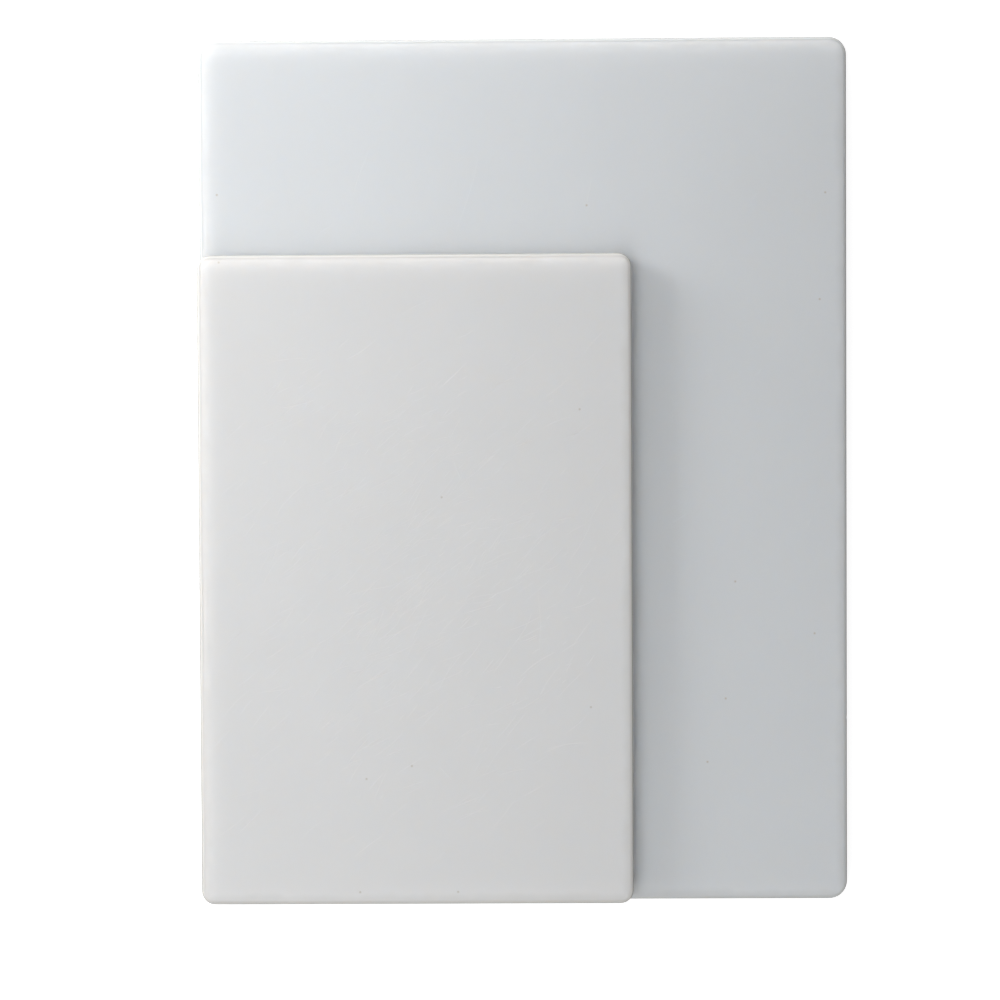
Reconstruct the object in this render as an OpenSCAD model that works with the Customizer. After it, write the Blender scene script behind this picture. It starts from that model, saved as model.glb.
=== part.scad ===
// A pair of white plastic cutting boards, the small one lying on the large one.
// Each board is one solid slab sawn from thick sheet, with rounded corners and eased edges.
// +X is the width, +Y the length and +Z up. The origin is the centre of the large board's
// underside, which lies on the worktop.

/* [Large board] */
// Width of the large board, left to right
large_width = 457.2; // [400:0.1:620]
// Length of the large board, front to back
large_length = 609.6; // [520:0.1:920]
// Thickness of the large board
large_thickness = 12.7; // [9.5:0.1:38.1]
// Radius of the large board's four corners, seen from above
large_corner_radius = 12.7; // [5:0.1:60]
// Radius of the easing along the large board's top and bottom edges
large_edge_radius = 3.2; // [0.8:0.1:4.5]

/* [Small board] */
// Width of the small board, left to right
small_width = 304.8; // [150:0.1:400]
// Length of the small board, front to back
small_length = 457.2; // [200:0.1:520]
// Thickness of the small board
small_thickness = 12.7; // [9.5:0.1:38.1]
// Radius of the small board's four corners, seen from above
small_corner_radius = 9.5; // [5:0.1:60]
// Radius of the easing along the small board's top and bottom edges
small_edge_radius = 3.2; // [0.8:0.1:4.5]

/* [Stack] */
// How far the small board's left edge lies to the right of the large board's left edge
stack_from_left = 0; // [0:0.1:60]
// How far the small board's front edge lies behind the large board's front edge
stack_from_front = 0; // [0:0.1:90]

/* [Hidden] */

// Segments in a full turn of the rounded corners and edges
$fn = 96;

// Colours of the two sheets: a cool white and a slightly warmer one
large_colour = [0.91, 0.93, 0.95];
small_colour = [0.95, 0.94, 0.91];

// Centre of the small board, with its left and front edges set from the large board's
small_x = -large_width / 2 + stack_from_left + small_width / 2;
small_y = -large_length / 2 + stack_from_front + small_length / 2;

// The large board's cutting face, on which the small board lies
large_top = large_thickness;

// Cross-section of a board's border: flat on both faces, square to them at the inner side and
// eased at the outer side, which is where the router ran
module border_section(depth, thickness, edge_radius) {
    square([depth - edge_radius, thickness]);
    translate([0, edge_radius]) square([depth, thickness - 2 * edge_radius]);
    translate([depth - edge_radius, edge_radius]) circle(edge_radius);
    translate([depth - edge_radius, thickness - edge_radius]) circle(edge_radius);
}

// A straight stretch of border along the +X side, its outer face at x = half
module border_bar(half, run, corner_radius, thickness, edge_radius) {
    translate([half - corner_radius, run / 2, 0])
        rotate([90, 0, 0])
            linear_extrude(run)
                border_section(corner_radius, thickness, edge_radius);
}

// The quarter turn of border round the corner of +X and +Y
module border_corner(half_x, half_y, corner_radius, thickness, edge_radius) {
    translate([half_x - corner_radius, half_y - corner_radius, 0])
        rotate_extrude(angle = 90)
            border_section(corner_radius, thickness, edge_radius);
}

// A slab centred on the Z axis with its underside at z = 0
module eased_slab(width, length, thickness, corner_radius, edge_radius) {
    inner_width = width - 2 * corner_radius;
    inner_length = length - 2 * corner_radius;
    translate([-inner_width / 2, -inner_length / 2, 0])
        cube([inner_width, inner_length, thickness]);
    for (turn = [0, 180]) rotate(turn) {
        border_bar(width / 2, inner_length, corner_radius, thickness, edge_radius);
        border_corner(width / 2, length / 2, corner_radius, thickness, edge_radius);
    }
    for (turn = [90, 270]) rotate(turn) {
        border_bar(length / 2, inner_width, corner_radius, thickness, edge_radius);
        border_corner(length / 2, width / 2, corner_radius, thickness, edge_radius);
    }
}

// The large board, which carries the small one
module large_board() {
    color(large_colour)
        eased_slab(large_width, large_length, large_thickness,
                   large_corner_radius, large_edge_radius);
}

// The small board, laid face to face on the large one and free to be lifted off
module small_board() {
    color(small_colour)
        translate([small_x, small_y, large_top])
            eased_slab(small_width, small_length, small_thickness,
                       small_corner_radius, small_edge_radius);
}

large_board();
small_board();
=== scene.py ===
"""Two white polyethylene cutting boards, the small one lying on the large one, seen from above."""

import math

import bmesh
import bpy
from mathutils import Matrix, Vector


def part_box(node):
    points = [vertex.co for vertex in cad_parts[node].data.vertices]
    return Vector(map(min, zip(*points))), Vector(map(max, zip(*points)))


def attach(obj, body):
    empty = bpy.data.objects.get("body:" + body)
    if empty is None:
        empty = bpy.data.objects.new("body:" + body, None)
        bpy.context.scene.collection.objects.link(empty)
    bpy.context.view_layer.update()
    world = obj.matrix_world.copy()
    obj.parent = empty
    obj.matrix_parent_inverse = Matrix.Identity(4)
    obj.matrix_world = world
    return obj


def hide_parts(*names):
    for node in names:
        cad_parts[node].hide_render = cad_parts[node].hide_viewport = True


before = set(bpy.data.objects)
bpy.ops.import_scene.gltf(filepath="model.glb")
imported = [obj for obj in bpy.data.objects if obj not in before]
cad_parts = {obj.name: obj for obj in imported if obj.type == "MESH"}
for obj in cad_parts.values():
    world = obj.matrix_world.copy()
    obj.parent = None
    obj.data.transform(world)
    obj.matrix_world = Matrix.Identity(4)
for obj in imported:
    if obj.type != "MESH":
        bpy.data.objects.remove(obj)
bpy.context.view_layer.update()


# ---------------------------------------------------------------------------------------------
# The large board, which lies on the worktop and carries the small one. It is sawn out of pressed
# polyethylene sheet of a cool white, its corners are rounded, and a router eases the edges of
# both faces. It has seen little use: a few long scratches, a nick in one edge.

MM = 0.001
EASING_RADIUS = 3.2 * MM
EASING_STEPS = 9
CORNER_STEPS = 14
LARGE_CORNER_RADIUS = 12.7 * MM
LARGE_WHITE = (0.80, 0.825, 0.845)

# marks in mm from the near left corner of the board's upper face. A scratch runs through points.
LARGE_SCRATCHES = [
    [(107, 493), (113, 513), (122, 535)],
    [(179, 466), (188, 491), (195, 512), (198, 528), (189, 535)],
    [(274, 492), (276, 503), (278, 512)],
    [(429, 264), (432, 271)],
]
LARGE_SPECKS = [(378, 226), (434, 189), (371, 143), (358, 98), (442, 500), (438, 425),
                (13, 501), (274, 492)]
NICK_PLACE = (457.0, 129, -1.2)
NICK_SIZE = (1.3, 1.7, 1.2)


class Nodes:
    """Writes a node tree as calls. A value fed to a socket is a number, a node or a socket."""

    def __init__(self, tree):
        self.tree = tree

    def feed(self, socket, value):
        if isinstance(value, bpy.types.Node):
            value = next(s for s in value.outputs if s.enabled)
        if isinstance(value, bpy.types.NodeSocket):
            self.tree.links.new(value, socket)
        else:
            socket.default_value = value

    def add(self, kind, settings=None, **sockets):
        """Adds a node. Its sockets are named in lower case, with _ for a space."""
        node = self.tree.nodes.new(kind)
        for name, value in (settings or {}).items():
            setattr(node, name, value)
        for name, value in sockets.items():
            title = name.replace("_", " ")
            found = next(s for s in node.inputs if s.enabled and s.name.lower() == title)
            self.feed(found, value)
        return node

    def math(self, operation, *values):
        node = self.add("ShaderNodeMath", {"operation": operation})
        for socket, value in zip(node.inputs, values):
            self.feed(socket, value)
        return node.outputs[0]

    def vector(self, x=0.0, y=0.0, z=0.0):
        return self.add("ShaderNodeCombineXYZ", x=x, y=y, z=z).outputs[0]

    def vector_math(self, operation, *values):
        node = self.add("ShaderNodeVectorMath", {"operation": operation})
        for socket, value in zip(node.inputs, values):
            self.feed(socket, value)
        return next(s for s in node.outputs if s.enabled)

    def step(self, value, start, end):
        """0 below start and 1 above end, with a smooth rise between them."""
        return self.add("ShaderNodeMapRange", {"interpolation_type": "SMOOTHSTEP"},
                        value=value, from_min=start, from_max=end).outputs[0]

    def mix(self, share, below, above):
        """Lays one colour over another. A mix node repeats its socket names for each kind of
        value, so its colour sockets are taken by their places."""
        node = self.add("ShaderNodeMix", {"data_type": "RGBA"}, factor=share)
        self.feed(node.inputs[6], below)
        self.feed(node.inputs[7], above)
        return node.outputs[2]

    def place(self, group, **values):
        """Places a shader node group and returns its first output."""
        return self.add("ShaderNodeGroup", {"node_tree": group}, **values).outputs[0]


def group_tree(name, kind, inputs, result, result_type):
    """A node group with named inputs and one result, as Nodes with given and answer()."""
    tree = bpy.data.node_groups.new(name, kind)
    for title, socket_type, *start in inputs:
        made = tree.interface.new_socket(title, in_out="INPUT", socket_type=socket_type)
        if start:
            made.default_value = start[0]
    tree.interface.new_socket(result, in_out="OUTPUT", socket_type=result_type)
    t = Nodes(tree)
    t.given = tree.nodes.new("NodeGroupInput").outputs
    t.answer = lambda value: t.feed(tree.nodes.new("NodeGroupOutput").inputs[0], value)
    return t


# The plastic. Polyethylene is white through and through and lets light a little way in, so its
# rims glow and shadows on it are soft. The faces are pressed with a nearly matt grain. The routed
# edges are rougher, light stays nearer to their surface, and a painted shade greys them.

GLOW_DEPTH = 24 * MM
EDGE_GLOW_DEPTH = 2.5 * MM
CUT_GLOW_DEPTH = 0.8 * MM
GLOW_SPREAD = (1.0, 0.93, 0.86)
PLASTIC_IOR = 1.54
SHEEN = 0.05

FACE_ROUGHNESS = 0.62
CLOUD_ROUGHNESS = 0.05
SCUFF_ROUGHNESS = 0.12
ROUTED_ROUGHNESS = 0.14
GRAIN_HEIGHT = 0.012 * MM
SCUFF_DEPTH = 0.03 * MM
ROUTER_DEPTH = 0.03 * MM

# scuffs, each kind with its direction in degrees, its share of the cover and its length
SCUFFS = ((38, 1.0, 22 * MM), (68, 0.8, 14 * MM), (8, 0.6, 18 * MM), (-52, 0.5, 12 * MM))

# shades of the plastic: the two ends of its clouds, a scuff and how much of it shows, a fresh cut
DULL_CLOUD = 0.993
BRIGHT_CLOUD = 1.004
SCUFFED = 1.06
SCUFF_SHARE = 0.5
FRESH_CUT = 1.035

# how much of its white is left where shade is painted: on a face's rim, on the easing, on the
# wall, and darkest on the line between those two
RIM_PAINTED_SHADE = (0.87, 0.865, 0.855, 1.0)
EASING_PAINTED_SHADE = (0.87, 0.86, 0.84, 1.0)
WALL_PAINTED_SHADE = (0.72, 0.71, 0.69, 1.0)
LIP_PAINTED_SHADE = (0.48, 0.47, 0.455, 1.0)

SPECK_BROWN = (0.66, 0.63, 0.58, 1.0)
SPECK_CORE = 0.2 * MM
SPECK_REACH = 1.2 * MM


def pressed_grain():
    """The height of a pressed face: fine pebbles over a broad, shallow unevenness."""
    t = group_tree("pressed_grain", "ShaderNodeTree",
                   [("Pebble Size", "NodeSocketFloat", 0.9 * MM),
                    ("Wave Size", "NodeSocketFloat", 7 * MM)], "Height", "NodeSocketFloat")
    here = t.add("ShaderNodeTexCoord").outputs["Object"]
    pebbles = t.add("ShaderNodeTexNoise", vector=here, detail=2.0,
                    scale=t.math("DIVIDE", 1.0, t.given["Pebble Size"])).outputs[0]
    waves = t.add("ShaderNodeTexNoise", vector=here, detail=1.0,
                  scale=t.math("DIVIDE", 1.0, t.given["Wave Size"])).outputs[0]
    t.answer(t.math("MULTIPLY_ADD", waves, 1.6, pebbles))
    return t.tree


def routed_edge():
    """1 on the walls and the easing, which a router cut, and 0 on the pressed faces."""
    t = group_tree("routed_edge", "ShaderNodeTree",
                   [("Steep", "NodeSocketFloat", 0.86), ("Level", "NodeSocketFloat", 0.995)],
                   "Mask", "NodeSocketFloat")
    normal = t.add("ShaderNodeTexCoord").outputs["Normal"]
    upright = t.math("ABSOLUTE", t.add("ShaderNodeSeparateXYZ", vector=normal).outputs["Z"])
    t.answer(t.math("SUBTRACT", 1.0, t.step(upright, t.given["Steep"], t.given["Level"])))
    return t.tree


def router_lines():
    """The height of the fine lines that a router leaves along an edge, broken by chatter."""
    t = group_tree("router_lines", "ShaderNodeTree",
                   [("Pitch", "NodeSocketFloat", 0.35 * MM),
                    ("Chatter", "NodeSocketFloat", 2.2 * MM)], "Height", "NodeSocketFloat")
    here = t.add("ShaderNodeTexCoord").outputs["Object"]
    long = 60 * MM
    lines = t.vector_math("DIVIDE", here, t.vector(long, long, t.given["Pitch"]))
    lines = t.add("ShaderNodeTexNoise", vector=lines, scale=1.0, detail=1.0).outputs[0]
    tall = 25 * MM
    beats = t.vector_math("DIVIDE", here, t.vector(t.given["Chatter"], t.given["Chatter"], tall))
    beats = t.add("ShaderNodeTexNoise", vector=beats, scale=1.0, detail=0.0).outputs[0]
    t.answer(t.math("MULTIPLY_ADD", beats, 0.7, lines))
    return t.tree


def hair_scuffs():
    """1 on hair scuffs that run one way, thickest round Centre, and 0 on clean plastic."""
    t = group_tree("hair_scuffs", "ShaderNodeTree",
                   [("Direction", "NodeSocketFloat", 0.7), ("Centre", "NodeSocketVector"),
                    ("Reach", "NodeSocketFloat", 150 * MM), ("Cover", "NodeSocketFloat", 0.5),
                    ("Length", "NodeSocketFloat", 22 * MM),
                    ("Pitch", "NodeSocketFloat", 0.9 * MM)], "Mask", "NodeSocketFloat")
    here = t.add("ShaderNodeTexCoord").outputs["Object"]
    turned = t.add("ShaderNodeVectorRotate", {"rotation_type": "Z_AXIS"}, vector=here,
                   angle=t.math("MULTIPLY", t.given["Direction"], -1.0))
    drawn_out = t.vector(t.given["Length"], t.given["Pitch"], t.given["Length"])
    hair = t.vector_math("DIVIDE", turned, drawn_out)
    hair = t.add("ShaderNodeTexNoise", vector=hair, scale=1.0, detail=1.0).outputs[0]
    apart = t.vector_math("DISTANCE", here, t.given["Centre"])
    near = t.math("SUBTRACT", 1.0, t.math("DIVIDE", apart, t.given["Reach"]))
    patches = t.add("ShaderNodeTexNoise", vector=here, scale=22.0, detail=1.0).outputs[0]
    worn = t.math("MULTIPLY", t.math("MAXIMUM", near, 0.0), t.given["Cover"])
    worn = t.math("MULTIPLY", worn, t.step(patches, 0.35, 0.65))
    # the noise makes a scuff where it passes a level, which is lower where the plastic is worn
    clean_level, worn_drop, softness = 0.80, 0.22, 0.05
    level = t.math("SUBTRACT", clean_level, t.math("MULTIPLY", worn, worn_drop))
    t.answer(t.step(hair, level, t.math("ADD", level, softness)))
    return t.tree


def cloudy():
    """From 0 to 1 in soft clouds a hand wide, for slow changes of tint and gloss."""
    t = group_tree("cloudy", "ShaderNodeTree", [("Size", "NodeSocketFloat", 90 * MM)],
                   "Mask", "NodeSocketFloat")
    here = t.add("ShaderNodeTexCoord").outputs["Object"]
    cloud = t.add("ShaderNodeTexNoise", vector=here, detail=2.0,
                  scale=t.math("DIVIDE", 1.0, t.given["Size"])).outputs[0]
    t.answer(t.step(cloud, 0.3, 0.7))
    return t.tree


def handled_rim():
    """1 along the rim of a face, where a painted shade greys it, and 0 further in."""
    t = group_tree("handled_rim", "ShaderNodeTree",
                   [("Centre", "NodeSocketVector"), ("Half Size", "NodeSocketVector"),
                    ("Reach", "NodeSocketFloat", 9 * MM)], "Mask", "NodeSocketFloat")
    here = t.add("ShaderNodeTexCoord").outputs["Object"]
    off_centre = t.vector_math("ABSOLUTE", t.vector_math("SUBTRACT", here, t.given["Centre"]))
    inward = t.vector_math("SUBTRACT", t.given["Half Size"], off_centre)
    inward = t.add("ShaderNodeSeparateXYZ", vector=inward)
    inward = t.math("MINIMUM", inward.outputs["X"], inward.outputs["Y"])
    uneven = t.add("ShaderNodeTexNoise", vector=here, scale=45.0, detail=2.0).outputs[0]
    reach = t.math("MULTIPLY", t.given["Reach"], t.math("ADD", uneven, 0.5))
    t.answer(t.math("SUBTRACT", 1.0, t.step(inward, t.math("MULTIPLY", reach, 0.1), reach)))
    return t.tree


grain_group = pressed_grain()
edge_group = routed_edge()
router_group = router_lines()
scuff_group = hair_scuffs()
cloud_group = cloudy()
rim_group = handled_rim()


def tinted(colour, factor):
    return (*[min(1.0, part * factor) for part in colour], 1.0)


def greyed(colour, tint):
    return [part * share for part, share in zip((*colour, 1.0), tint)]


def polyethylene(name, colour, node, cover, specks=(), glow=GLOW_DEPTH, routed=0.0):
    """A sheet's material. Specks are places on the board where a dark grain is moulded in.
    Routed is 1 for the eased edges, and 0 for the pressed faces and for what a knife cut."""
    material = bpy.data.materials.new(name)
    material.use_nodes = True
    m = Nodes(material.node_tree)
    plastic = material.node_tree.nodes["Principled BSDF"]
    low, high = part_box(node)
    centre = (low + high) / 2

    clouds = m.place(cloud_group)
    rim = m.place(rim_group, centre=centre, half_size=(high - low) / 2)
    edge = m.math("MULTIPLY", m.place(edge_group), routed)
    wall = m.math("MULTIPLY", m.place(edge_group, steep=0.2, level=0.8), routed)
    lip = m.math("SUBTRACT", m.place(edge_group, steep=0.5, level=0.8),
                 m.place(edge_group, steep=0.05, level=0.2))
    lip = m.math("MULTIPLY", lip, routed)
    scuffs = 0.0
    for direction, share, length in SCUFFS:
        more = m.place(scuff_group, direction=math.radians(direction), centre=centre,
                       cover=cover * share, length=length)
        scuffs = m.math("MAXIMUM", scuffs, more)

    tint = m.mix(clouds, tinted(colour, DULL_CLOUD), tinted(colour, BRIGHT_CLOUD))
    tint = m.mix(m.math("MULTIPLY", scuffs, SCUFF_SHARE), tint, tinted(colour, SCUFFED))
    # painted shade greys the rim of each face
    tint = m.mix(rim, tint, greyed(colour, RIM_PAINTED_SHADE))
    # painted shade greys the easing, the wall and, darkest, the line between easing and wall
    tint = m.mix(edge, tint, greyed(colour, EASING_PAINTED_SHADE))
    tint = m.mix(wall, tint, greyed(colour, WALL_PAINTED_SHADE))
    tint = m.mix(lip, tint, greyed(colour, LIP_PAINTED_SHADE))
    here = m.add("ShaderNodeTexCoord").outputs["Object"]
    nearest = 1.0
    for speck in specks:
        nearest = m.math("MINIMUM", m.vector_math("DISTANCE", here, speck), nearest)
    if specks:
        inside = m.math("SUBTRACT", 1.0, m.step(nearest, SPECK_CORE, SPECK_REACH))
        tint = m.mix(inside, tint, SPECK_BROWN)
    m.feed(plastic.inputs["Base Color"], tint)

    matt = m.math("MULTIPLY_ADD", clouds, CLOUD_ROUGHNESS, FACE_ROUGHNESS)
    matt = m.math("MULTIPLY_ADD", scuffs, SCUFF_ROUGHNESS, matt)
    matt = m.math("MULTIPLY_ADD", edge, ROUTED_ROUGHNESS, matt)
    m.feed(plastic.inputs["Roughness"], matt)

    pressed = m.add("ShaderNodeBump", height=m.place(grain_group), distance=GRAIN_HEIGHT)
    scuffed = m.add("ShaderNodeBump", {"invert": True}, height=scuffs, distance=SCUFF_DEPTH,
                    normal=pressed)
    lined = m.add("ShaderNodeBump", height=m.math("MULTIPLY", edge, m.place(router_group)),
                  distance=ROUTER_DEPTH, normal=scuffed)
    m.feed(plastic.inputs["Normal"], lined)

    plastic.inputs["IOR"].default_value = PLASTIC_IOR
    plastic.inputs["Specular IOR Level"].default_value = SHEEN
    plastic.inputs["Subsurface Weight"].default_value = 1.0
    plastic.inputs["Subsurface Radius"].default_value = GLOW_SPREAD
    plastic.inputs["Subsurface Scale"].default_value = glow
    return material


# The blank: one tree for both boards, whose inputs are a board's sizes. A face belongs to the
# border when its normal's height is below that of the two flat faces.

FLAT_NORMAL = 0.998


def board_blank_tree():
    """A slab whose corners are rounded and whose faces end in an eased edge."""
    t = group_tree("board_blank", "GeometryNodeTree",
                   [("Width", "NodeSocketFloat"), ("Length", "NodeSocketFloat"),
                    ("Thickness", "NodeSocketFloat"), ("Underside", "NodeSocketVector"),
                    ("Corner Radius", "NodeSocketFloat"), ("Easing Radius", "NodeSocketFloat"),
                    ("Corner Steps", "NodeSocketInt"), ("Easing Steps", "NodeSocketInt"),
                    ("Material", "NodeSocketMaterial"), ("Edge Material", "NodeSocketMaterial")],
                   "Geometry", "NodeSocketGeometry")
    size = t.given
    easing, steps = size["Easing Radius"], size["Easing Steps"]

    # the outline of the two flat faces, which ends where the easing starts
    both_sides = t.math("MULTIPLY", easing, 2.0)
    outline = t.add("GeometryNodeCurvePrimitiveQuadrilateral",
                    width=t.math("SUBTRACT", size["Width"], both_sides),
                    height=t.math("SUBTRACT", size["Length"], both_sides))
    outline = t.add("GeometryNodeFilletCurve", {"mode": "POLY"}, curve=outline,
                    count=size["Corner Steps"],
                    radius=t.math("SUBTRACT", size["Corner Radius"], easing))
    outline = t.add("GeometryNodeSetCurveNormal", {"mode": "Z_UP"}, curve=outline)

    # the border's section goes round the upper easing, down the wall and round the lower one.
    # A sweep lays its section's Y axis along -Z, so a height is fed in with its sign turned.
    index = t.add("GeometryNodeInputIndex")
    is_lower = t.math("GREATER_THAN", index, steps)
    turned = t.math("DIVIDE", t.math("SUBTRACT", index, is_lower), steps)
    angle = t.math("MULTIPLY", t.math("SUBTRACT", 1.0, turned), math.pi / 2)
    upper_centre = t.math("SUBTRACT", size["Thickness"], easing)
    wall = t.math("SUBTRACT", upper_centre, easing)
    centre = t.math("SUBTRACT", upper_centre, t.math("MULTIPLY", is_lower, wall))
    outward = t.math("MULTIPLY", easing, t.math("COSINE", angle))
    height = t.math("ADD", centre, t.math("MULTIPLY", easing, t.math("SINE", angle)))
    section = t.add("GeometryNodePoints", count=t.math("MULTIPLY_ADD", steps, 2.0, 2.0),
                    position=t.vector(outward, t.math("MULTIPLY", height, -1.0)))
    section = t.add("GeometryNodePointsToCurves", points=section)
    border = t.add("GeometryNodeCurveToMesh", curve=outline, profile_curve=section)

    face = t.add("GeometryNodeFillCurve", {"mode": "NGONS"}, curve=outline)
    slab = t.add("GeometryNodeJoinGeometry", geometry=border)
    t.feed(slab.inputs[0], t.add("GeometryNodeFlipFaces", mesh=face))
    t.feed(slab.inputs[0], t.add("GeometryNodeSetPosition", geometry=face,
                                 offset=t.vector(z=size["Thickness"])))
    slab = t.add("GeometryNodeMergeByDistance", geometry=slab, distance=0.001 * MM)
    slab = t.add("GeometryNodeSetPosition", geometry=slab, offset=size["Underside"])
    slab = t.add("GeometryNodeRealizeInstances", geometry=slab)
    slab = t.add("GeometryNodeSetMaterial", geometry=slab, material=size["Material"])
    normal = t.add("ShaderNodeSeparateXYZ", vector=t.add("GeometryNodeInputNormal"))
    is_border = t.math("LESS_THAN", t.math("ABSOLUTE", normal.outputs["Z"]), FLAT_NORMAL)
    t.answer(t.add("GeometryNodeSetMaterial", geometry=slab, selection=is_border,
                   material=size["Edge Material"]))
    return t.tree


def grow(name, tree, start=None, **values):
    """An object whose mesh the tree makes out of start, with the tree's inputs set by title."""
    piece = bpy.data.objects.new(name, start or bpy.data.meshes.new(name))
    bpy.context.scene.collection.objects.link(piece)
    modifier = piece.modifiers.new("tree", "NODES")
    modifier.node_group = tree
    for item in tree.interface.items_tree:
        title = item.name.lower().replace(" ", "_")
        if item.in_out == "INPUT" and title in values:
            modifier[item.identifier] = values[title]
    return piece


def settle(piece):
    """Makes what the piece's modifiers show its plain mesh, with no empty material slot."""
    depsgraph = bpy.context.evaluated_depsgraph_get()
    mesh = bpy.data.meshes.new_from_object(
        piece.evaluated_get(depsgraph), preserve_all_data_layers=True, depsgraph=depsgraph)
    piece.modifiers.clear()
    piece.data = mesh
    for slot in reversed(range(len(mesh.materials))):
        if mesh.materials[slot] is None:
            mesh.materials.pop(index=slot)


# The knife scores: one tree makes the wedges of plastic that the strokes of a knife take out.

BLADE_HEIGHT = 1.0 * MM
STROKE_POINTS = 11
STROKE_BOW = 0.06
KNIFE_LIFT = 0.02 * MM
SHORTEST = 0.35
SHALLOWEST = 0.35


def knife_scores_tree():
    """Wedges under strokes scattered over a field, and under strokes that are drawn."""
    t = group_tree("knife_scores", "GeometryNodeTree",
                   [("Drawn", "NodeSocketGeometry"), ("Count", "NodeSocketInt"),
                    ("Field", "NodeSocketVector"), ("Centre", "NodeSocketVector"),
                    ("Longest", "NodeSocketFloat"), ("Direction", "NodeSocketFloat"),
                    ("Spread", "NodeSocketFloat"), ("Depth", "NodeSocketFloat"),
                    ("Blade Angle", "NodeSocketFloat"), ("Seed", "NodeSocketInt"),
                    ("Material", "NodeSocketMaterial")], "Geometry", "NodeSocketGeometry")
    given = t.given

    def chance(lot, low=0.0, high=1.0, **who):
        node = t.add("FunctionNodeRandomValue", min=low, max=high,
                     seed=t.math("ADD", given["Seed"], lot), **who)
        return next(s for s in node.outputs if s.enabled)

    def about_zero(lot):
        """From -1 to 1, and most often near 0."""
        return t.math("SUBTRACT", t.math("ADD", chance(lot), chance(lot + 1)), 1.0)

    place = t.vector_math("MULTIPLY_ADD", t.vector(about_zero(1), about_zero(3)),
                          given["Field"], given["Centre"])
    middles = t.add("GeometryNodePoints", count=given["Count"], position=place)

    # one stroke, a metre long and bowed a little, which is then shortened and turned
    stroke = t.add("GeometryNodeCurvePrimitiveLine", start=(-0.5, 0, 0), end=(0.5, 0, 0))
    stroke = t.add("GeometryNodeResampleCurve", curve=stroke, count=STROKE_POINTS)
    along = t.add("GeometryNodeSplineParameter").outputs["Factor"]
    off_middle = t.math("SUBTRACT", t.math("MULTIPLY", along, 2.0), 1.0)
    dip = t.math("SUBTRACT", 1.0, t.math("POWER", off_middle, 2.0))
    stroke = t.add("GeometryNodeSetPosition", geometry=stroke,
                   offset=t.vector(0.0, t.math("MULTIPLY", dip, STROKE_BOW)))
    length = t.math("MULTIPLY", given["Longest"], t.math("POWER", chance(5, SHORTEST), 2.0))
    bow = t.math("MULTIPLY", length, chance(6, -1.0))
    turn = t.math("MULTIPLY_ADD", about_zero(7), given["Spread"], given["Direction"])
    strokes = t.add("GeometryNodeInstanceOnPoints", points=middles, instance=stroke,
                    scale=t.vector(length, bow, 1.0), rotation=t.vector(z=turn))
    strokes = t.add("GeometryNodeRealizeInstances", geometry=strokes)

    drawn = t.add("GeometryNodeMeshToCurve", mesh=given["Drawn"])
    drawn = t.add("GeometryNodeResampleCurve", curve=drawn, count=STROKE_POINTS)
    lines = t.add("GeometryNodeJoinGeometry", geometry=strokes)
    t.feed(lines.inputs[0], drawn)

    # the blade's edge follows each line, and a wedge as wide as the blade follows the edge
    line = t.add("GeometryNodeCurveOfPoint").outputs["Curve Index"]
    depth = t.math("MULTIPLY", given["Depth"], chance(9, SHALLOWEST, id=line))
    edge = t.math("SUBTRACT", KNIFE_LIFT,
                  t.math("MULTIPLY", t.math("ADD", depth, KNIFE_LIFT), dip))
    lines = t.add("GeometryNodeSetPosition", geometry=lines, offset=t.vector(z=edge))
    lines = t.add("GeometryNodeSetCurveNormal", {"mode": "Z_UP"}, curve=lines)
    half_angle = t.math("MULTIPLY", given["Blade Angle"], 0.5)
    half = t.math("MULTIPLY", t.math("TANGENT", half_angle), BLADE_HEIGHT)
    wedge = t.add("GeometryNodeCurvePrimitiveQuadrilateral", {"mode": "POINTS"},
                  point_1=(0, 0, 0), point_2=t.vector(half, -BLADE_HEIGHT),
                  point_3=(0, -BLADE_HEIGHT, 0),
                  point_4=t.vector(t.math("MULTIPLY", half, -1.0), -BLADE_HEIGHT))
    wedges = t.add("GeometryNodeCurveToMesh", curve=lines, profile_curve=wedge,
                   fill_caps=True)
    wedges = t.add("GeometryNodeFlipFaces", mesh=wedges)
    wedges = t.add("GeometryNodeRealizeInstances", geometry=wedges)
    t.answer(t.add("GeometryNodeSetMaterial", geometry=wedges, material=given["Material"]))
    return t.tree


def take_out_tree():
    """Cuts every loose part of the cutter out of the board. Parts may cross each other."""
    t = group_tree("take_out", "GeometryNodeTree",
                   [("Board", "NodeSocketGeometry"), ("Cutter", "NodeSocketObject"),
                    ("Material", "NodeSocketMaterial")], "Geometry", "NodeSocketGeometry")
    cutter = t.add("GeometryNodeObjectInfo", object=t.given["Cutter"]).outputs["Geometry"]
    part = t.add("GeometryNodeInputMeshIsland").outputs["Island Index"]
    parts = t.add("GeometryNodeSplitToInstances", {"domain": "FACE"}, geometry=cutter,
                  group_id=part)
    parts = t.add("GeometryNodeStoreNamedAttribute", {"data_type": "BOOLEAN", "domain": "FACE"},
                  geometry=parts, name="is_cut", value=True)
    cut = t.add("GeometryNodeMeshBoolean", {"operation": "DIFFERENCE", "solver": "MANIFOLD"},
                mesh_1=t.given["Board"], mesh_2=parts)
    cut = t.add("GeometryNodeRealizeInstances", geometry=cut)
    is_cut = t.add("GeometryNodeInputNamedAttribute", {"data_type": "BOOLEAN"}, name="is_cut")
    t.answer(t.add("GeometryNodeSetMaterial", geometry=cut, selection=is_cut,
                   material=t.given["Material"]))
    return t.tree


def drawn_strokes(name, corner, strokes):
    """A mesh of open lines, for strokes given in mm from a corner of the board's upper face."""
    points, edges = [], []
    for stroke in strokes:
        for i, (x, y) in enumerate(stroke):
            if i:
                edges.append((len(points) - 1, len(points)))
            points.append(corner + Vector((x, y, 0)) * MM)
    mesh = bpy.data.meshes.new(name)
    mesh.from_pydata(points, edges, [])
    return mesh


CELL = 9 * MM


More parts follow.
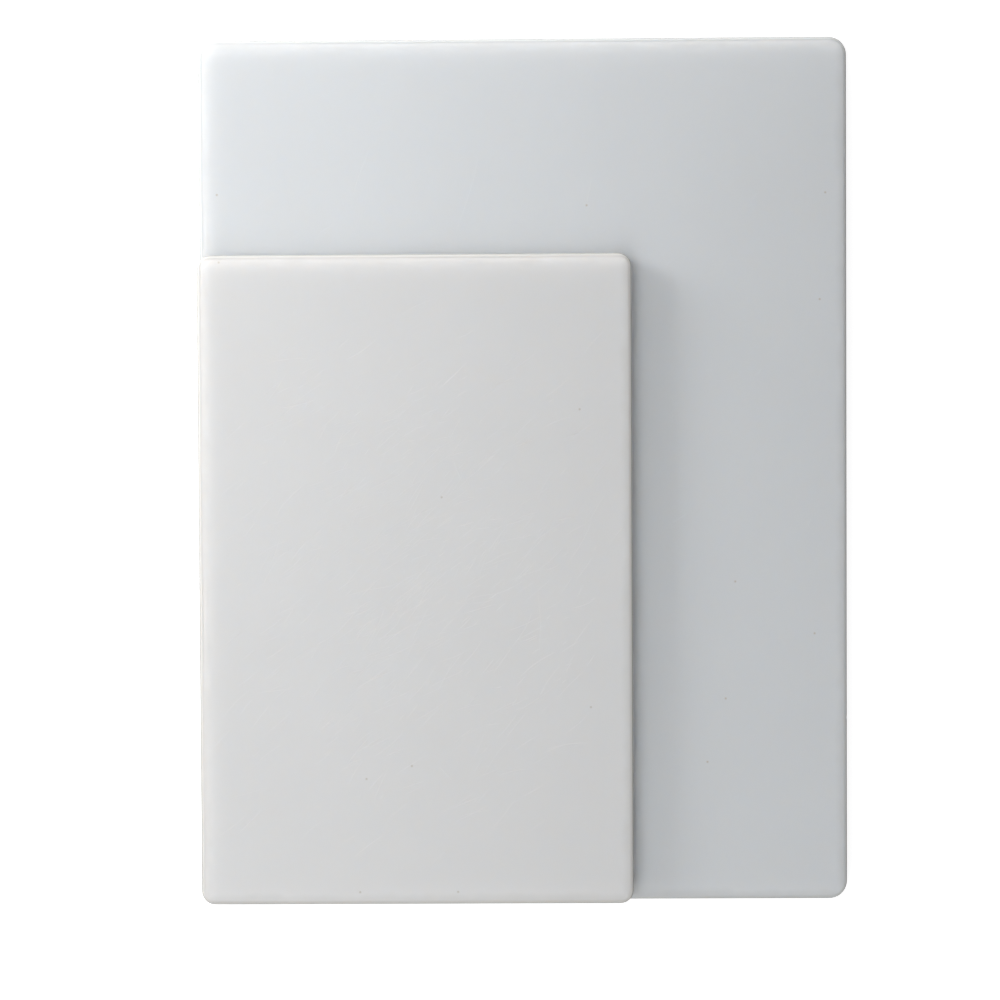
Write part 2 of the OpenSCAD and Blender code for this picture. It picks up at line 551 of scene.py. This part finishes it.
def slice_up(board):
    """Splits the faces into squares, so that no face ends up with hundreds of corners."""
    mesh = bmesh.new()
    mesh.from_mesh(board.data)
    for axis in (Vector((1, 0, 0)), Vector((0, 1, 0))):
        reach = [axis.dot(vertex.co) for vertex in mesh.verts]
        start, end = min(reach), max(reach)
        count = math.ceil((end - start) / CELL)
        for i in range(1, count):
            everything = mesh.verts[:] + mesh.edges[:] + mesh.faces[:]
            bmesh.ops.bisect_plane(mesh, geom=everything, dist=0.001 * MM, plane_no=axis,
                                   plane_co=axis * (start + (end - start) * i / count))
    mesh.to_mesh(board.data)
    mesh.free()


def take_out(board, cutter, material):
    cut = grow(board.name, cut_tree, board.data, cutter=cutter, material=material)
    settle(cut)
    board.data = cut.data
    bpy.data.objects.remove(cut)
    bpy.data.objects.remove(cutter)


def shade(board, sharpest=math.radians(28)):
    """Rounds the shading of the easing, and keeps the flat faces and the cuts crisp."""
    board.data.attributes.remove(board.data.attributes["is_cut"])
    mesh = bmesh.new()
    mesh.from_mesh(board.data)
    for face in mesh.faces:
        face.smooth = True
    for edge in mesh.edges:
        edge.smooth = edge.calc_face_angle(math.pi) < sharpest
    mesh.to_mesh(board.data)
    mesh.free()
    modifier = board.modifiers.new("even", "WEIGHTED_NORMAL")
    modifier.keep_sharp = True
    modifier.weight = 100
    settle(board)


def upper_corner(node):
    """The near left corner of a board's upper face, from which marks are measured."""
    low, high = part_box(node)
    return Vector((low.x, low.y, high.z))


def upper_centre(node):
    low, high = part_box(node)
    return Vector(((low.x + high.x) / 2, (low.y + high.y) / 2, high.z))


def cut_blank(name, node, corner_radius, material, edge_material):
    low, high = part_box(node)
    board = grow(name, blank_tree, width=high.x - low.x, length=high.y - low.y,
                 thickness=high.z - low.z,
                 underside=((low.x + high.x) / 2, (low.y + high.y) / 2, low.z),
                 corner_radius=corner_radius, easing_radius=EASING_RADIUS,
                 corner_steps=CORNER_STEPS, easing_steps=EASING_STEPS, material=material,
                 edge_material=edge_material)
    settle(board)
    slice_up(board)
    return board


def score(board, node, strokes, material, **scores):
    """Cuts drawn and scattered knife scores into a board's upper face."""
    drawn = drawn_strokes(board.name + "_strokes", upper_corner(node), strokes)
    wedges = grow(board.name + "_wedges", score_tree, drawn, centre=upper_centre(node),
                  material=material, **scores)
    settle(wedges)
    take_out(board, wedges, material)


CHIP_ROUGHNESS = 0.18


def nick_edge(board, place, size, material):
    """Takes a rough chip out of an edge."""
    mesh = bmesh.new()
    bmesh.ops.create_icosphere(mesh, subdivisions=2, radius=1.0)
    for i, vertex in enumerate(mesh.verts):
        rough = 1.0 + CHIP_ROUGHNESS * math.sin(i * 2.4) * math.cos(i * 1.1)
        vertex.co = Vector([c * s * rough for c, s in zip(vertex.co, size)]) + place
    chip = bpy.data.objects.new("chip", bpy.data.meshes.new("chip"))
    bpy.context.scene.collection.objects.link(chip)
    mesh.to_mesh(chip.data)
    mesh.free()
    take_out(board, chip, material)


blank_tree = board_blank_tree()
score_tree = knife_scores_tree()
cut_tree = take_out_tree()

large_corner = upper_corner("large_board")
large_plastic = polyethylene(
    "large_board_polyethylene", LARGE_WHITE, "large_board", cover=0.35,
    specks=[large_corner + Vector((x, y, 0)) * MM for x, y in LARGE_SPECKS])
large_cut = polyethylene("large_board_fresh_cut", tinted(LARGE_WHITE, FRESH_CUT)[:3],
                         "large_board", cover=0.0, glow=CUT_GLOW_DEPTH)
large_edge = polyethylene("large_board_routed_edge", LARGE_WHITE, "large_board", cover=0.35,
                          glow=EDGE_GLOW_DEPTH, routed=1.0)
large_board = cut_blank("large_board_slab", "large_board", LARGE_CORNER_RADIUS, large_plastic,
                        large_edge)
score(large_board, "large_board", LARGE_SCRATCHES, large_cut, count=20,
      field=(0.19, 0.26, 0), longest=0.035, direction=math.radians(60),
      spread=math.radians(70), depth=0.2 * MM, blade_angle=math.radians(110), seed=11)
nick_edge(large_board, large_corner + Vector(NICK_PLACE) * MM, Vector(NICK_SIZE) * MM,
          large_cut)
shade(large_board)
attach(large_board, "large_board")
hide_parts("large_board")


# ---------------------------------------------------------------------------------------------
# The small board, which lies loose on the large one. It is the same sheet in a warmer white, cut
# and eased the same way, and it is the one that was worked on: knife scores run over the
# middle of its face, most of them from lower left to upper right.

SMALL_CORNER_RADIUS = 9.5 * MM
SMALL_WHITE = (0.825, 0.82, 0.815)
SMALL_SPECKS = [(268, 348), (171, 287), (16, 452), (275, 139), (149, 98), (181, 9), (117, 89),
                (112, 9)]
SMALL_SCORES = [
    [(42, 335), (52, 339), (63, 343)],
    [(55, 333), (66, 338), (79, 344)],
    [(44, 357), (51, 363), (58, 368)],
    [(71, 373), (85, 380)],
    [(148, 403), (159, 409)],
    [(144, 357), (154, 361), (165, 366)],
    [(81, 307), (91, 313), (100, 320)],
    [(86, 281), (103, 290), (119, 301)],
    [(127, 297), (144, 310)],
    [(177, 318), (184, 324), (193, 332)],
    [(218, 325), (229, 336), (239, 346)],
    [(223, 322), (238, 328)],
    [(206, 301), (213, 307), (219, 314)],
    [(220, 232), (238, 257), (254, 280)],
    [(223, 236), (234, 250)],
    [(25, 291), (35, 301)],
    [(129, 235), (142, 243)],
    [(285, 422), (287, 428)],
    [(179, 315), (182, 305), (186, 297)],
    [(137, 150), (152, 167), (164, 183)],
    [(111, 173), (124, 176), (136, 180)],
    [(168, 171), (180, 175), (192, 181)],
    [(215, 192), (228, 197), (242, 204)],
    [(222, 153), (230, 162)],
    [(238, 224), (240, 200), (239, 172)],
    [(106, 120), (118, 136)],
    [(30, 173), (41, 182)],
    [(40, 150), (66, 153)],
    [(167, 99), (178, 87)],
]

small_corner = upper_corner("small_board")
small_plastic = polyethylene(
    "small_board_polyethylene", SMALL_WHITE, "small_board", cover=0.8,
    specks=[small_corner + Vector((x, y, 0)) * MM for x, y in SMALL_SPECKS])
small_cut = polyethylene("small_board_fresh_cut", tinted(SMALL_WHITE, FRESH_CUT)[:3],
                         "small_board", cover=0.0, glow=CUT_GLOW_DEPTH)
small_edge = polyethylene("small_board_routed_edge", SMALL_WHITE, "small_board", cover=0.8,
                          glow=EDGE_GLOW_DEPTH, routed=1.0)
small_board = cut_blank("small_board_slab", "small_board", SMALL_CORNER_RADIUS, small_plastic,
                        small_edge)
score(small_board, "small_board", SMALL_SCORES, small_cut, count=560,
      field=(0.145, 0.2, 0), longest=0.036, direction=math.radians(36),
      spread=math.radians(36), depth=0.26 * MM, blade_angle=math.radians(104), seed=3)
shade(small_board)
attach(small_board, "small_board")
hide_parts("small_board")


# ---------------------------------------------------------------------------------------------
# The worktop: plain white to the camera, with a matt part that keeps the boards' shadow. Away
# from the boards, where less light falls on it, its own white grows to the full.

WORKTOP_REACH = 7.0
WORKTOP_GREY = (0.5, 0.5, 0.5, 1)
NEAR_WHITE = 0.80
FULL_WHITE = 1.0
LIT_REACH = 0.55
FAR_REACH = 2.2


def seen_directly(m):
    """1 for what the camera sees, straight or in a gloss or through glass, and 0 for light."""
    path = m.add("ShaderNodeLightPath").outputs
    gloss = m.math("MAXIMUM", path["Is Glossy Ray"], path["Is Transmission Ray"])
    return m.math("MAXIMUM", path["Is Camera Ray"], gloss)


around = ((-1, -1), (1, -1), (1, 1), (-1, 1))
corners = [(x * WORKTOP_REACH, y * WORKTOP_REACH, 0) for x, y in around]
top = bpy.data.meshes.new("worktop")
top.from_pydata(corners, [], [(0, 1, 2, 3)])
worktop = bpy.data.objects.new("worktop", top)
bpy.context.scene.collection.objects.link(worktop)
white = bpy.data.materials.new("worktop_white")
white.use_nodes = True
m = Nodes(white.node_tree)
white.node_tree.nodes.remove(white.node_tree.nodes["Principled BSDF"])
matt = m.add("ShaderNodeBsdfDiffuse", color=WORKTOP_GREY)
away = m.vector_math("LENGTH", m.add("ShaderNodeTexCoord").outputs["Object"])
own_white = m.math("MULTIPLY_ADD", m.step(away, LIT_REACH, FAR_REACH), FULL_WHITE - NEAR_WHITE,
                   NEAR_WHITE)
plain = m.add("ShaderNodeEmission", strength=m.math("MULTIPLY", seen_directly(m), own_white))
both = m.add("ShaderNodeAddShader")
m.feed(both.inputs[0], matt)
m.feed(both.inputs[1], plain)
m.feed(white.node_tree.nodes["Material Output"].inputs["Surface"], both)
top.materials.append(white)


# ---------------------------------------------------------------------------------------------
# The lamps are soft boxes. The main light comes in low from the left, so that the small board
# throws a soft shadow to its right. A low strip behind the boards lights their far rims, two
# boxes in front fill in, and a faint one keeps the right walls out of the dark.

MIDDLE = Vector((0, 0, 12.7 * MM))
ROOM_LIGHT = 0.16


def soft_box(name, bearing, rise, distance, size, watts):
    """A lamp aimed at the boards. Bearings go round from the right: 90 is behind the boards."""
    bearing, rise = math.radians(bearing), math.radians(rise)
    way = Vector((math.cos(bearing) * math.cos(rise), math.sin(bearing) * math.cos(rise),
                  math.sin(rise)))
    lamp = bpy.data.lights.new(name, "AREA")
    lamp.shape = "RECTANGLE"
    lamp.size, lamp.size_y = size
    lamp.energy = watts
    holder = bpy.data.objects.new(name, lamp)
    holder.location = MIDDLE + way * distance
    holder.rotation_mode = "QUATERNION"
    holder.rotation_quaternion = (-way).to_track_quat("-Z", "Y")
    holder.visible_camera = False
    bpy.context.scene.collection.objects.link(holder)


soft_box("left_main", bearing=150, rise=14, distance=1.3, size=(0.5, 0.35), watts=14.0)
soft_box("left_high", bearing=160, rise=68, distance=0.7, size=(0.4, 0.3), watts=0.86)
soft_box("back_strip", bearing=90, rise=6, distance=0.7, size=(0.9, 0.1), watts=2.1)
soft_box("front_low", bearing=-112, rise=30, distance=1.3, size=(0.8, 0.5), watts=3.4)
soft_box("front_high", bearing=-106, rise=60, distance=1.5, size=(1.2, 0.8), watts=5.4)
soft_box("right_low", bearing=-8, rise=5, distance=1.3, size=(0.8, 0.16), watts=2.2)

studio = bpy.data.worlds.new("studio")
bpy.context.scene.world = studio
studio.use_nodes = True
m = Nodes(studio.node_tree)
backdrop = studio.node_tree.nodes["Background"]
backdrop.inputs["Color"].default_value = (1, 1, 1, 1)
m.feed(backdrop.inputs["Strength"], m.math("MAXIMUM", seen_directly(m), ROOM_LIGHT))


# ---------------------------------------------------------------------------------------------
# The camera looks almost straight down on the boards.

lens = bpy.data.cameras.new("camera")
lens.sensor_width = 36.0
lens.lens = 63.8
camera = bpy.data.objects.new("camera", lens)
camera.location = Vector((-5.6, 6.2, 1266.7)) * MM
camera.rotation_mode = "ZYX"
camera.rotation_euler = [math.radians(angle) for angle in (-1.21, 0.51, -0.30)]
bpy.context.scene.collection.objects.link(camera)
bpy.context.scene.camera = camera
bpy.context.scene.view_settings.view_transform = "Standard"
